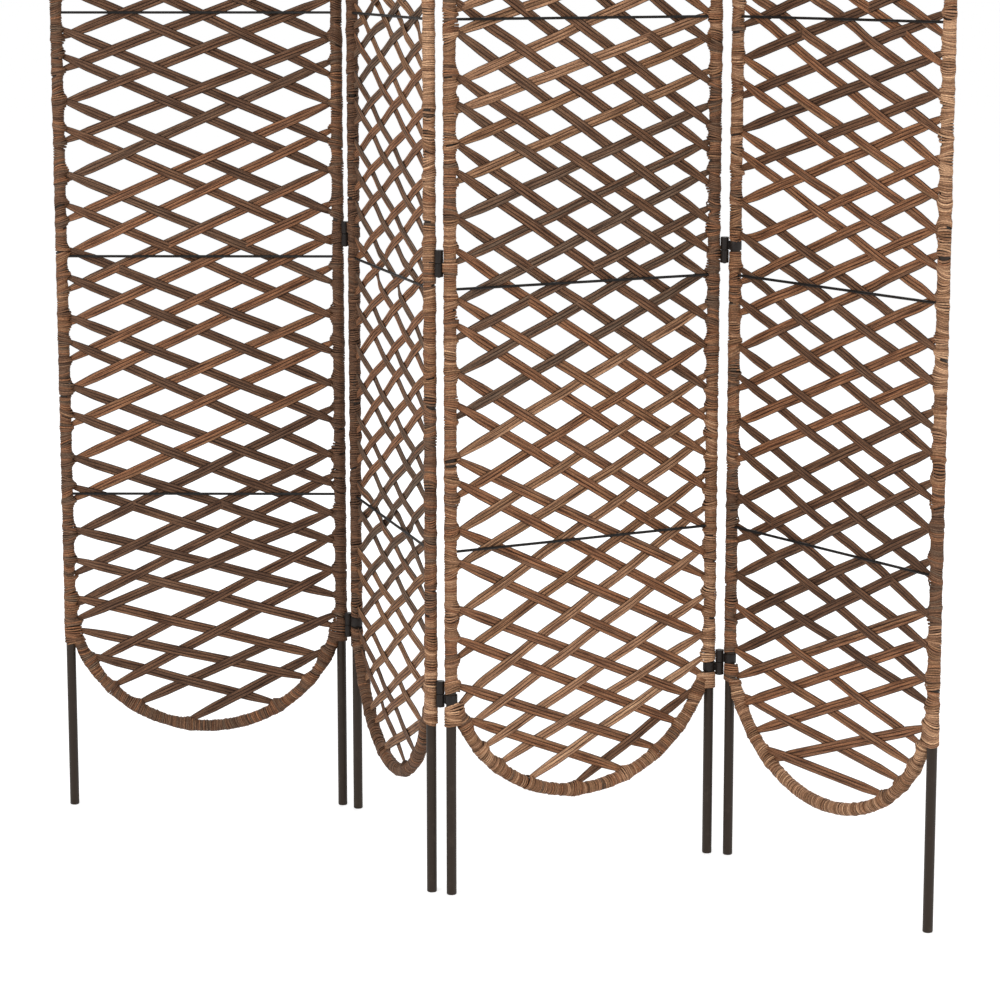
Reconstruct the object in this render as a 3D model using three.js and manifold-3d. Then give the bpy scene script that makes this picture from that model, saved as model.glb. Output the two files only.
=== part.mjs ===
// A four-panel folding screen of woven wicker on a thin steel frame, standing in a zigzag.
// Millimetres, +Z up. Each panel has two tube legs, a bent rod between them at the bottom and
// at the top, thin cross rods, and one piece of wicker: flat bands on two diagonals whose ends
// go round the frame, and the strand wound round the legs and the bent rods.
// Pin hinges, three at each fold, strap the legs of neighbouring panels together.
import * as THREE from 'three';
import { mergeVertices } from 'three/addons/utils/BufferGeometryUtils.js';
import Module from 'manifold-3d';

const wasm = await Module();
wasm.setup();

// ---- The panel frame ---------------------------------------------------------------------
const SCREEN_HEIGHT = 1802; // floor to the top of the wound top arc
const LEG_SPACING = 384; // between the centres of a panel's two legs
const TUBE_D = 13; // round steel tube of the legs
const TUBE_WALL = 1.2;
const FOOT_ROUND = 1.2; // rounding of the closed foot end
const ARC_ROD_D = 8; // steel rod bent into the bottom and top arcs
const ARC_RADIUS = 192; // of its centre line
const FOOT_CLEARANCE = 108; // floor to the underside of the wound bottom arc
const CROSS_ROD_D = 3.6; // thin rods from leg to leg, in the middle of the weave
const CROSS_ROD_COUNT = 4; // evenly spaced between the two arcs
const CLEARANCE = 0.3; // between pieces that touch or are wound over each other

// ---- The wound strand --------------------------------------------------------------------
const LEG_WRAP_THICKNESS = 1.7; // of the strand on a leg
const ARC_WRAP_THICKNESS = 4.5; // of the strand and the band ends in it on an arc
const LEG_WRAP_D = TUBE_D + 2 * LEG_WRAP_THICKNESS; // over the strand on a leg
const ARC_WRAP_D = ARC_ROD_D + 2 * ARC_WRAP_THICKNESS; // over the strand on an arc
const WRAP_BELOW_JOINT = 8; // the leg's winding runs on this far past the end of the arc
const WRAP_OVER_END = 2; // and closes this far over the top end of a leg

// ---- The weave ---------------------------------------------------------------------------
const BAND_WIDTH = 13.5; // a flat band of three strands side by side
const BAND_THICKNESS = 2.3;
const SHORTEST_BAND = 150; // bands shorter than this would lie in the tip of an arc
// The weave is laid by hand, so no two spacings are equal. For each panel, left to right, and
// from the lowest up, the heights of each falling (\) and each rising band (/) at the centres of
// the left and the right leg, which it would reach if no arc cut it short.
const WEAVES = [
  {
    falling: [
      [226, 124], [258, 176], [304, 211], [359, 259], [403, 304], [464, 339], [507, 381],
      [569, 419], [608, 462], [671, 502], [706, 553], [762, 604], [800, 650], [862, 700],
      [906, 748], [968, 803], [1006, 845], [1067, 902], [1103, 943], [1162, 996], [1213, 1034],
    ],
    rising: [
      [36, 240], [105, 283], [142, 349], [192, 397], [267, 432], [288, 483], [333, 518],
      [389, 579], [440, 618], [495, 671], [547, 716], [597, 777], [639, 819], [690, 865],
      [737, 913], [786, 966], [834, 1003], [890, 1060], [944, 1091], [996, 1145], [1042, 1189],
    ],
  },
  {
    falling: [
      [248, 78], [267, 140], [296, 202], [352, 253], [381, 303], [442, 333], [475, 378],
      [536, 406], [572, 454], [628, 509], [670, 541], [728, 593], [770, 623], [820, 670],
      [870, 702], [918, 759], [954, 797], [1008, 846], [1047, 877], [1099, 930], [1139, 966],
      [1196, 1012], [1227, 1051],
    ],
    rising: [
      [63, 233], [106, 290], [126, 326], [175, 386], [236, 427], [274, 474], [319, 518],
      [368, 564], [412, 599], [458, 645], [498, 682], [540, 734], [591, 766], [645, 816],
      [692, 844], [735, 900], [784, 930], [834, 980], [879, 1017], [924, 1068], [970, 1104],
      [1019, 1149], [1062, 1187],
    ],
  },
  {
    falling: [
      [240, 78], [280, 124], [342, 166], [382, 210], [443, 248], [484, 298], [546, 333],
      [575, 380], [646, 409], [686, 446], [748, 498], [780, 544], [842, 590], [882, 632],
      [941, 686], [975, 724], [1025, 779], [1059, 814], [1114, 852], [1151, 901], [1204, 944],
      [1241, 978], [1292, 1032],
    ],
    rising: [
      [14, 245], [82, 278], [134, 310], [167, 362], [206, 429], [250, 482], [308, 526],
      [363, 576], [426, 614], [472, 659], [519, 703], [570, 752], [621, 796], [675, 845],
      [722, 878], [766, 926], [818, 965], [872, 1012], [919, 1056], [965, 1100], [1007, 1128],
      [1041, 1190],
    ],
  },
  {
    falling: [
      [167, 153], [230, 174], [288, 200], [350, 230], [391, 289], [458, 316], [500, 358],
      [563, 397], [600, 446], [659, 504], [698, 543], [759, 598], [800, 630], [846, 685],
      [887, 727], [952, 784], [978, 826], [1044, 868], [1075, 908], [1141, 948], [1162, 987],
      [1220, 1030], [1254, 1068],
    ],
    rising: [
      [15, 235], [120, 264], [160, 329], [203, 374], [243, 412], [276, 476], [324, 517],
      [381, 573], [430, 612], [481, 660], [539, 702], [588, 747], [634, 798], [687, 850],
      [734, 883], [775, 928], [824, 966], [880, 1012], [924, 1044], [974, 1089], [1018, 1136],
      [1065, 1180],
    ],
  },
];

// ---- The hinges --------------------------------------------------------------------------
const HINGE_HEIGHTS = [266, 820, 1374]; // middle of each barrel
const PIN_BEYOND_LEG = 11; // from a leg's centre to the pin, along its panel
const PIN_OFF_PANEL = 9; // and square to it, to the inside of the fold
const PIN_D = 4;
const PIN_LENGTH = 14; // above the knuckle that holds it
const PIN_PLAY = 0.3; // round the pin and past its end in the socket
const KNUCKLE_D = 11;
const KNUCKLE_LENGTH = 16.8;
const KNUCKLE_GAP = 0.4; // between the two knuckles of a barrel
const STRAP_HEIGHT = 12;
const STRAP_THICKNESS = 1.5;
const ARM_THICKNESS = 3;

// ---- How the screen stands ---------------------------------------------------------------
const FIRST_PANEL_TURN = 1.3; // degrees from the row's X axis, seen from above
const FOLDS = [-72.3, 99.6, -81]; // turn of each panel from the one before, left is positive

// ---- Roundness ---------------------------------------------------------------------------
const TUBE_SIDES = 8;
const ARC_ROD_SIDES = 6;
const ARC_STEPS = 8;
const CROSS_ROD_SIDES = 6;
const WRAP_SIDES = 8; // even multiples of 4 keep one flat side towards the weave
const KNUCKLE_SIDES = 8;

// ---- Places worked out from the sizes ------------------------------------------------------
const ARC_LOW_Z = FOOT_CLEARANCE + ARC_WRAP_D / 2;
const ARC_HIGH_Z = SCREEN_HEIGHT - ARC_WRAP_D / 2;
const ARC_CENTRE_LOW_Z = ARC_LOW_Z + ARC_RADIUS;
const ARC_CENTRE_HIGH_Z = ARC_HIGH_Z - ARC_RADIUS;
const ARC_REACH = LEG_SPACING / 2 - TUBE_D / 2 - ARC_ROD_D / 2 - CLEARANCE;
const ARC_HALF_ANGLE = Math.asin(Math.min(1, ARC_REACH / ARC_RADIUS));
const ARC_END_RISE = ARC_RADIUS * (1 - Math.cos(ARC_HALF_ANGLE));
const WRAP_LOW_Z = ARC_LOW_Z + ARC_END_RISE - WRAP_BELOW_JOINT;
const WRAP_HIGH_Z = ARC_HIGH_Z - ARC_END_RISE + WRAP_BELOW_JOINT;
const LEG_TOP_Z = WRAP_HIGH_Z - WRAP_OVER_END;
const STRAP_OUTER_R = TUBE_D / 2 + CLEARANCE + STRAP_THICKNESS;
const STRAP_FROM_MIDDLE = (KNUCKLE_GAP + STRAP_HEIGHT) / 2; // of a barrel, up or down

const tubeSteel = new THREE.MeshStandardMaterial({ color: 0x3b322d, roughness: 0.5, metalness: 0.6 });
const rodSteel = new THREE.MeshStandardMaterial({ color: 0x26262a, roughness: 0.45, metalness: 0.7 });
const hingeSteel = new THREE.MeshStandardMaterial({ color: 0x2c2624, roughness: 0.45, metalness: 0.7 });
const wicker = new THREE.MeshStandardMaterial({ color: 0x6f4e39, roughness: 0.65, metalness: 0 });

// ---- Solids ------------------------------------------------------------------------------

// A closed geometry as a solid that can be joined and cut.
function solid(geometry) {
  geometry.deleteAttribute('normal');
  geometry.deleteAttribute('uv');
  const merged = mergeVertices(geometry, 1e-4);
  return new wasm.Manifold(new wasm.Mesh({
    numProp: 3,
    vertProperties: new Float32Array(merged.attributes.position.array),
    triVerts: new Uint32Array(merged.index.array),
  }));
}

function geometryOf(body) {
  const mesh = body.getMesh();
  const geometry = new THREE.BufferGeometry();
  geometry.setAttribute('position', new THREE.BufferAttribute(mesh.vertProperties, 3));
  geometry.setIndex(new THREE.BufferAttribute(mesh.triVerts, 1));
  geometry.computeVertexNormals();
  return geometry;
}

function joined(solids) {
  return solids.reduce((all, next) => all.add(next));
}

// A round bar along Z between two heights, with one flat side facing +X.
function bar(diameter, sides, lowZ, highZ, x = 0, y = 0) {
  const geometry = new THREE.CylinderGeometry(diameter / 2, diameter / 2, highZ - lowZ, sides);
  geometry.rotateY(Math.PI / sides);
  geometry.rotateX(Math.PI / 2);
  geometry.rotateZ(Math.PI / 2);
  geometry.translate(x, y, (lowZ + highZ) / 2);
  return geometry;
}

// A bar's diameter once it has room all round for a bar of the given diameter and sides.
function around(diameter, sides, clearance = CLEARANCE) {
  return diameter + 2 * clearance / Math.cos(Math.PI / sides);
}

// ---- Frame pieces, in a panel's own frame: X from the left leg to the right leg ---------------

// A hollow tube with a closed, rounded foot; its top is open inside the winding.
function legGeometry() {
  const r = TUBE_D / 2;
  const inside = r - TUBE_WALL;
  const geometry = new THREE.LatheGeometry([
    new THREE.Vector2(0, 0),
    new THREE.Vector2(r - FOOT_ROUND, 0),
    new THREE.Vector2(r, FOOT_ROUND),
    new THREE.Vector2(r, LEG_TOP_Z),
    new THREE.Vector2(inside, LEG_TOP_Z),
    new THREE.Vector2(inside, TUBE_WALL + FOOT_ROUND),
    new THREE.Vector2(0, TUBE_WALL + FOOT_ROUND),
  ], TUBE_SIDES);
  geometry.rotateY(Math.PI / TUBE_SIDES);
  geometry.rotateX(Math.PI / 2);
  geometry.rotateZ(Math.PI / 2);
  return geometry;
}

// The centre line of an arc: side -1 is the bottom arc, +1 the top one. It may run on a
// little past both ends of the rod.
class ArcLine extends THREE.Curve {
  constructor(side, beyond) {
    super();
    this.side = side;
    this.centreZ = side < 0 ? ARC_CENTRE_LOW_Z : ARC_CENTRE_HIGH_Z;
    this.halfAngle = ARC_HALF_ANGLE + beyond / ARC_RADIUS;
  }

  getPoint(t) {
    const angle = (2 * t - 1) * this.halfAngle;
    return new THREE.Vector3(
      LEG_SPACING / 2 + ARC_RADIUS * Math.sin(angle),
      0,
      this.centreZ + this.side * ARC_RADIUS * Math.cos(angle),
    );
  }
}

function arcGeometry(side, diameter, sides, beyond = 0) {
  const section = new THREE.Shape(Array.from({ length: sides }, (_, i) => {
    const angle = (2 * i + 1) * Math.PI / sides;
    return new THREE.Vector2(diameter / 2 * Math.cos(angle), diameter / 2 * Math.sin(angle));
  }));
  return new THREE.ExtrudeGeometry(section, { steps: ARC_STEPS, extrudePath: new ArcLine(side, beyond) });
}

const crossRodHeights = Array.from({ length: CROSS_ROD_COUNT }, (_, i) =>
  ARC_LOW_Z + (i + 1) * (ARC_HIGH_Z - ARC_LOW_Z) / (CROSS_ROD_COUNT + 1));

// A cross rod runs between the walls of the two tubes.
const CROSS_ROD_LENGTH = LEG_SPACING - TUBE_D - 2 * CLEARANCE;

function crossRodGeometry() {
  const geometry = bar(CROSS_ROD_D, CROSS_ROD_SIDES, -CROSS_ROD_LENGTH / 2, CROSS_ROD_LENGTH / 2);
  geometry.rotateY(Math.PI / 2);
  geometry.translate(LEG_SPACING / 2, 0, 0);
  return geometry;
}

// The strand parts round a cross rod and leaves a square opening.
function crossRodOpening(z) {
  const side = CROSS_ROD_D + 2 * CLEARANCE;
  const geometry = new THREE.BoxGeometry(CROSS_ROD_LENGTH + 2 * CLEARANCE, side, side);
  return geometry.translate(LEG_SPACING / 2, 0, z);
}

// ---- The weave ---------------------------------------------------------------------------

const LEG_WALL_X = TUBE_D / 2 + CLEARANCE; // a band's end sits in the winding, at the tube
const ARC_INNER_R = ARC_RADIUS - (ARC_ROD_D / 2 + ARC_WRAP_D / 2) / 2 + CLEARANCE;
const LAYER_Y = CROSS_ROD_D / 2 + CLEARANCE; // the two families pass either side of the rods

// The stretch of a sloping line that lies inside the frame, or null.
function spanInFrame(startZ, slope) {
  let low = LEG_WALL_X;
  let high = LEG_SPACING - LEG_WALL_X;
  for (const [centreZ, side] of [[ARC_CENTRE_LOW_Z, -1], [ARC_CENTRE_HIGH_Z, 1]]) {
    const rise = startZ - centreZ;
    const a = 1 + slope * slope;
    const b = 2 * (slope * rise - LEG_SPACING / 2);
    const c = (LEG_SPACING / 2) ** 2 + rise * rise - ARC_INNER_R ** 2;
    const root = b * b - 4 * a * c;
    const lowBeyond = side * (rise + slope * low) > 0;
    const highBeyond = side * (rise + slope * high) > 0;
    if ((lowBeyond || highBeyond) && root <= 0) return null;
    if (lowBeyond) low = Math.max(low, (-b - Math.sqrt(root)) / (2 * a));
    if (highBeyond) high = Math.min(high, (-b + Math.sqrt(root)) / (2 * a));
  }
  return high - low > SHORTEST_BAND ? [low, high] : null;
}

// All the bands of a family. Above the last one listed, the weave is the listed part turned
// half round about the middle of that band.
function bandHeights(listed) {
  let bands = listed;
  while (Math.min(...bands.at(-1)) < SCREEN_HEIGHT) {
    const sum = bands.at(-1)[0] + bands.at(-1)[1];
    const turned = bands.slice(0, -1).reverse().map(([left, right]) => [sum - right, sum - left]);
    bands = [...bands, ...turned];
  }
  return bands;
}

// One flat band between the two edges that leave the frame where its own edges do.
function bandGeometry(startZ, slope, layerSide) {
  const halfHeight = BAND_WIDTH / 2 * Math.hypot(1, slope);
  const lower = spanInFrame(startZ - halfHeight, slope);
  const upper = spanInFrame(startZ + halfHeight, slope);
  if (!lower || !upper) return null;
  const corner = (x, edge) => new THREE.Vector2(x, startZ + edge * halfHeight + slope * x);
  const outline = new THREE.Shape([
    corner(lower[0], -1), corner(lower[1], -1), corner(upper[1], 1), corner(upper[0], 1),
  ]);
  const geometry = new THREE.ExtrudeGeometry(outline, { depth: BAND_THICKNESS, bevelEnabled: false });
  geometry.rotateX(Math.PI / 2);
  geometry.translate(0, layerSide < 0 ? -LAYER_Y : LAYER_Y + BAND_THICKNESS, 0);
  return geometry;
}

function bandsOf(listed, layerSide) {
  return bandHeights(listed)
    .map(([left, right]) => bandGeometry(left, (right - left) / LEG_SPACING, layerSide))
    .filter(Boolean)
    .map(solid);
}

// Where hinge straps clear the winding: heights of strap centres on a panel's left or right leg.
function strapHeights(panel, legSide) {
  const fold = legSide < 0 ? panel - 1 : panel;
  if (fold < 0 || fold >= FOLDS.length) return [];
  const above = carriesSocket(panel) ? 1 : -1;
  return HINGE_HEIGHTS.map((z) => z + above * STRAP_FROM_MIDDLE);
}

// Every second panel carries the pins, which point up; its neighbours carry the sockets.
function carriesSocket(panel) {
  return panel % 2 === 1;
}

// The wicker of one panel: the two layers of bands joined to the winding, hollowed for the
// tubes and rods that it holds, and left off where the hinge straps grip the tube.
function wickerGeometry(panel) {
  const legXs = [[0, -1], [LEG_SPACING, 1]];
  const outside = [
    ...legXs.map(([x]) => bar(LEG_WRAP_D, WRAP_SIDES, WRAP_LOW_Z, WRAP_HIGH_Z, x)),
    ...[-1, 1].map((side) => arcGeometry(side, ARC_WRAP_D, WRAP_SIDES)),
  ].map(solid);
  const bands = [...bandsOf(WEAVES[panel].falling, 1), ...bandsOf(WEAVES[panel].rising, -1)];
  const held = [
    ...legXs.map(([x]) =>
      bar(around(TUBE_D, TUBE_SIDES), TUBE_SIDES, 0, LEG_TOP_Z + CLEARANCE, x)),
    ...[-1, 1].map((side) =>
      arcGeometry(side, around(ARC_ROD_D, ARC_ROD_SIDES), ARC_ROD_SIDES, CLEARANCE)),
    ...crossRodHeights.map(crossRodOpening),
  ].map(solid);
  const windowSide = 2 * (STRAP_OUTER_R + 2 * CLEARANCE);
  const windows = legXs.flatMap(([x, side]) => strapHeights(panel, side).map((z) => solid(
    new THREE.BoxGeometry(windowSide, windowSide, STRAP_HEIGHT + 2 * CLEARANCE).translate(x, 0, z),
  )));
  const woven = joined([...outside, ...bands]).subtract(joined(held));
  return geometryOf(windows.length ? woven.subtract(joined(windows)) : woven);
}

// ---- Hinge leaves ------------------------------------------------------------------------

// A strap round the tube, an arm and a knuckle in one piece, with the pin or the socket. The
// strap and the arm are at the end of the knuckle that is next to the other leaf.
// It is made about its own leg, with the pin line at (reachX, reachY) and z = 0 at the middle
// of the barrel.
function leafGeometry(reachX, reachY, hasSocket) {
  const side = hasSocket ? 1 : -1;
  const nearZ = side * KNUCKLE_GAP / 2;
  const farZ = side * (KNUCKLE_GAP / 2 + KNUCKLE_LENGTH);
  const middleZ = side * STRAP_FROM_MIDDLE;
  const strapZs = [middleZ - STRAP_HEIGHT / 2, middleZ + STRAP_HEIGHT / 2];
  const strap = bar(2 * STRAP_OUTER_R, TUBE_SIDES, ...strapZs);
  const knuckle = bar(KNUCKLE_D, KNUCKLE_SIDES,
    Math.min(nearZ, farZ), Math.max(nearZ, farZ), reachX, reachY);
  const reach = Math.hypot(reachX, reachY);
  const arm = new THREE.BoxGeometry(reach, ARM_THICKNESS, STRAP_HEIGHT);
  arm.translate(reach / 2, 0, middleZ);
  arm.rotateZ(Math.atan2(reachY, reachX));
  const tube = bar(around(TUBE_D, TUBE_SIDES), TUBE_SIDES, middleZ - STRAP_HEIGHT, middleZ + STRAP_HEIGHT);
  const leaf = joined([strap, knuckle, arm].map(solid)).subtract(solid(tube));
  if (hasSocket) {
    const socketTop = -KNUCKLE_GAP / 2 + PIN_LENGTH + PIN_PLAY;
    const socket = bar(around(PIN_D, KNUCKLE_SIDES, PIN_PLAY), KNUCKLE_SIDES,
      -KNUCKLE_LENGTH, socketTop, reachX, reachY);
    return geometryOf(leaf.subtract(solid(socket)));
  }
  const pin = bar(PIN_D, KNUCKLE_SIDES, nearZ - KNUCKLE_LENGTH / 2, nearZ + PIN_LENGTH, reachX, reachY);
  return geometryOf(leaf.add(solid(pin)));
}

// ---- Assembly ----------------------------------------------------------------------------

function piece(name, geometry, material, x = 0, z = 0) {
  const mesh = new THREE.Mesh(geometry, material.clone());
  mesh.name = name;
  mesh.position.set(x, 0, z);
  return mesh;
}

function panelGroup(panel) {
  const group = new THREE.Group();
  const name = `panel_${panel + 1}`;
  group.add(
    piece(`${name}_left_leg`, legGeometry(), tubeSteel),
    piece(`${name}_right_leg`, legGeometry(), tubeSteel, LEG_SPACING),
    piece(`${name}_bottom_arc`, arcGeometry(-1, ARC_ROD_D, ARC_ROD_SIDES), tubeSteel),
    piece(`${name}_top_arc`, arcGeometry(1, ARC_ROD_D, ARC_ROD_SIDES), tubeSteel),
    piece(`${name}_wicker`, wickerGeometry(panel), wicker),
  );
  crossRodHeights.forEach((z, i) => {
    group.add(piece(`${name}_cross_rod_${i + 1}`, crossRodGeometry(), rodSteel, 0, z));
  });
  return group;
}

// Adds one panel's leaves for the hinges of a fold, on its left (-1) or right (+1) leg.
function addLeaves(group, panel, fold, legSide) {
  const inside = Math.sign(FOLDS[fold]);
  const hasSocket = carriesSocket(panel);
  const geometry = () =>
    leafGeometry(legSide * PIN_BEYOND_LEG, inside * PIN_OFF_PANEL, hasSocket);
  HINGE_HEIGHTS.forEach((z, i) => {
    const name = `hinge_${fold + 1}_${fold + 2}_${['low', 'middle', 'high'][i] ?? i}`;
    const leaf = hasSocket ? 'socket_leaf' : 'pin_leaf';
    const legX = legSide < 0 ? 0 : LEG_SPACING;
    group.add(piece(`${name}_${leaf}`, geometry(), hingeSteel, legX, z));
  });
}

// Each panel hangs on the one before: its left leg is found from the pin line that they share.
const screen = new THREE.Group();
const nextLeg = new THREE.Vector2(0, 0);
let turn = THREE.MathUtils.degToRad(FIRST_PANEL_TURN);
for (let panel = 0; panel < WEAVES.length; panel++) {
  const group = panelGroup(panel);
  if (panel > 0) addLeaves(group, panel, panel - 1, -1);
  if (panel < FOLDS.length) addLeaves(group, panel, panel, 1);
  group.position.set(nextLeg.x, nextLeg.y, 0);
  group.rotation.z = turn;
  screen.add(group);
  if (panel < FOLDS.length) {
    const inside = Math.sign(FOLDS[panel]) * PIN_OFF_PANEL;
    const toPin = new THREE.Vector2(LEG_SPACING + PIN_BEYOND_LEG, inside);
    nextLeg.add(toPin.rotateAround(new THREE.Vector2(), turn));
    turn += THREE.MathUtils.degToRad(FOLDS[panel]);
    const fromPin = new THREE.Vector2(PIN_BEYOND_LEG, -inside);
    nextLeg.add(fromPin.rotateAround(new THREE.Vector2(), turn));
  }
}

// The row's origin is on the floor, in the middle of the screen's footprint.
const footprint = new THREE.Box3().setFromObject(screen, true).getCenter(new THREE.Vector3());
screen.position.set(-footprint.x, -footprint.y, 0);

export default screen;
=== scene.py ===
# %% [markdown]
# # A folding screen of woven rattan on a thin steel frame
#
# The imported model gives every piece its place. This lesson dresses it: smooth round tubes and
# rods, strap hinges, the strands wound round the frame, and the flat bands that cross over and
# under each other. Everything is in metres, in the model's own frame, with sizes written in
# millimetres and multiplied by MM where a piece is made.

# %% The frame
import math

import bpy
import numpy as np
from mathutils import Matrix, Vector


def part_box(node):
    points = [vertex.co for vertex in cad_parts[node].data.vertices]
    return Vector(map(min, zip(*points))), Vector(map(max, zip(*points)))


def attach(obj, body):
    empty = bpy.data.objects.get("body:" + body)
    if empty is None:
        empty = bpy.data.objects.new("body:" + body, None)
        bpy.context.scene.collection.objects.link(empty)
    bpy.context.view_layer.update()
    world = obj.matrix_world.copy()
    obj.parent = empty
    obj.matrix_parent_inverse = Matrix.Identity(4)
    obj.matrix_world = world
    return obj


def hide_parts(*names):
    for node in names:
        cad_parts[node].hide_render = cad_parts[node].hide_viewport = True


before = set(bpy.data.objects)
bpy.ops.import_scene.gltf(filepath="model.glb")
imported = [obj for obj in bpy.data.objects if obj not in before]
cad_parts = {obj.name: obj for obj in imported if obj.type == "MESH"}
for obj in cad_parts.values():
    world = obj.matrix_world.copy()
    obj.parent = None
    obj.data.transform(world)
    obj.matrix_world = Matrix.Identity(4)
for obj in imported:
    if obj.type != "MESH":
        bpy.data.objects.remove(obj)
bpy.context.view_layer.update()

MM = 0.001

# %% [markdown]
# ## The camera
#
# The screen was photographed from a little above its middle with a long lens, pointing slightly
# down. The two numbers that place a camera best are its distance, which sets how fast the far
# panels shrink, and its tilt, which sets how far apart the feet stand in the picture. The small
# shift stands for the strip that is cropped from the top of the picture.

# %% Camera
camera_data = bpy.data.cameras.new("camera")
camera_data.sensor_width = 36.0
camera_data.lens = 103.1
camera_data.shift_y = -0.09
camera = bpy.data.objects.new("camera", camera_data)
camera.location = (0.1520, -3.6910, 1.2068)
camera.rotation_euler = (math.radians(90 - 9.12), 0.0, math.radians(1.77))
bpy.context.scene.collection.objects.link(camera)
bpy.context.scene.camera = camera
print("camera at", tuple(round(v, 3) for v in camera.location))

# %% [markdown]
# ## Helpers for materials
#
# Colours are written as sRGB values and the shader works with linear light, so one function turns
# them. A second one adds a node with its settings and its links.

# %% Colours and nodes
def linear(hex_colour):
    """The linear colour of an sRGB value such as 7f5b43."""
    channels = [int(hex_colour[i:i + 2], 16) / 255 for i in (0, 2, 4)]
    return tuple(c / 12.92 if c <= 0.04045 else ((c + 0.055) / 1.055) ** 2.4
                 for c in channels) + (1.0,)


def add(material, kind, links=(), **settings):
    """Adds a node. Settings are its properties, or input_NAME for a socket's value."""
    tree = material.node_tree
    node = tree.nodes.new(kind)
    for key, value in settings.items():
        if key.startswith("input_"):
            node.inputs[key[6:].replace("_", " ")].default_value = value
        else:
            setattr(node, key, value)
    for socket, source in dict(links).items():
        tree.links.new(source, node.inputs[socket])
    return node


def new_material(name):
    """An empty material, its Principled shader and its output."""
    material = bpy.data.materials.new(name)
    material.use_nodes = True
    material.node_tree.nodes.clear()
    shader = add(material, "ShaderNodeBsdfPrincipled")
    add(material, "ShaderNodeOutputMaterial", {"Surface": shader.outputs[0]})
    return material, shader


def plug(material, source, shader, socket):
    material.node_tree.links.new(source, shader.inputs[socket])

# %% [markdown]
# ## Powder-coated tube
#
# The legs are round steel tube with a dark brown powder coat. Powder melts into a skin with a
# fine orange peel, so the shine is soft and a little broken. The peel is about 1 mm across and is
# a bump. Thin worn places are lighter, scattered over the coat.

# %% Powder coat material
COAT_SPECULAR = 0.22  # a matt resin skin shines less than bare plastic
SCUFF_SIZE = 22 * MM


def powder_coat(name, colour, worn_colour, roughness, peel_mm=1.2):
    material, shader = new_material(name)
    shader.inputs["Base Color"].default_value = linear(colour)
    shader.inputs["Specular IOR Level"].default_value = COAT_SPECULAR
    where = add(material, "ShaderNodeTexCoord")
    scuffs = add(material, "ShaderNodeTexNoise", {"Vector": where.outputs["Object"]},
                 input_Scale=1 / SCUFF_SIZE, input_Detail=5.0, input_Roughness=0.7)
    how_worn = add(material, "ShaderNodeMapRange", {"Value": scuffs.outputs["Fac"]},
                   input_From_Min=0.56, input_From_Max=0.80)
    mixed = add(material, "ShaderNodeMix", {"Factor": how_worn.outputs[0]}, data_type="RGBA")
    mixed.inputs["A"].default_value = linear(colour)
    mixed.inputs["B"].default_value = linear(worn_colour)
    plug(material, mixed.outputs["Result"], shader, "Base Color")
    rough = add(material, "ShaderNodeMapRange", {"Value": scuffs.outputs["Fac"]},
                input_To_Min=roughness - 0.08, input_To_Max=roughness + 0.10)
    plug(material, rough.outputs[0], shader, "Roughness")
    peel = add(material, "ShaderNodeTexNoise", {"Vector": where.outputs["Object"]},
               input_Scale=1 / (peel_mm * MM), input_Detail=2.0)
    bump = add(material, "ShaderNodeBump", {"Height": peel.outputs["Fac"]},
               input_Strength=0.25, input_Distance=0.15 * MM)
    plug(material, bump.outputs["Normal"], shader, "Normal")
    return material


TUBE_COAT = powder_coat("brown powder coat on steel tube", "30261e", "453a31", 0.46)
ROD_COAT = powder_coat("black enamel on steel rod", "181513", "2a2522", 0.44, peel_mm=0.9)
HINGE_COAT = powder_coat("dark bronze coat on hinge steel", "221c19", "3f352d", 0.40)
print("steel finishes:", TUBE_COAT.name, "|", ROD_COAT.name, "|", HINGE_COAT.name)

# %% [markdown]
# ## Stained rattan
#
# Rattan strand is split from a cane, so its fibres run along it, with darker lines of pith
# between them. It was stained in several dye lots, which is why whole groups of bands are dark,
# brown, copper or tan. Each strand's edges are painted darker, as painted shade for the grooves
# where strands lie against each other. Each strand carries two attributes made further on:
# "strand" holds the metres along it and around it and how near its edge a point is, and "tone" is
# its place in the row of dyes.
# Real fibres are about 0.3 mm wide. They are drawn at 1.25 mm so that they show.

# %% Rattan material
# The colour of each dye's lightest fibres, and its place in the row.
DYES = {"dark": ("7b5c47", 0.0), "brown": ("8e684e", 0.17), "weathered": ("7f6957", 0.33),
        "copper": ("ae7b59", 0.50), "straw": ("aa8261", 0.67), "tan": ("c79a79", 0.83),
        "natural": ("ecc09a", 1.0)}
PITH = [(0.37, "7a6a60"), (0.50, "d6cfc9"), (0.62, "fffaf2")]  # what the fibres do to the dye
FIBRE_LENGTH = 60 * MM
FIBRE_WIDTH = 1.25 * MM
FLECK_LENGTH, FLECK_WIDTH = 2.6 * MM, 1.4 * MM


def set_ramp(node, stops):
    elements = node.color_ramp.elements
    for position, _ in stops[1:-1]:
        elements.new(position)
    for element, (position, colour) in zip(elements, stops):
        element.position = position
        element.color = linear(colour)


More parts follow.
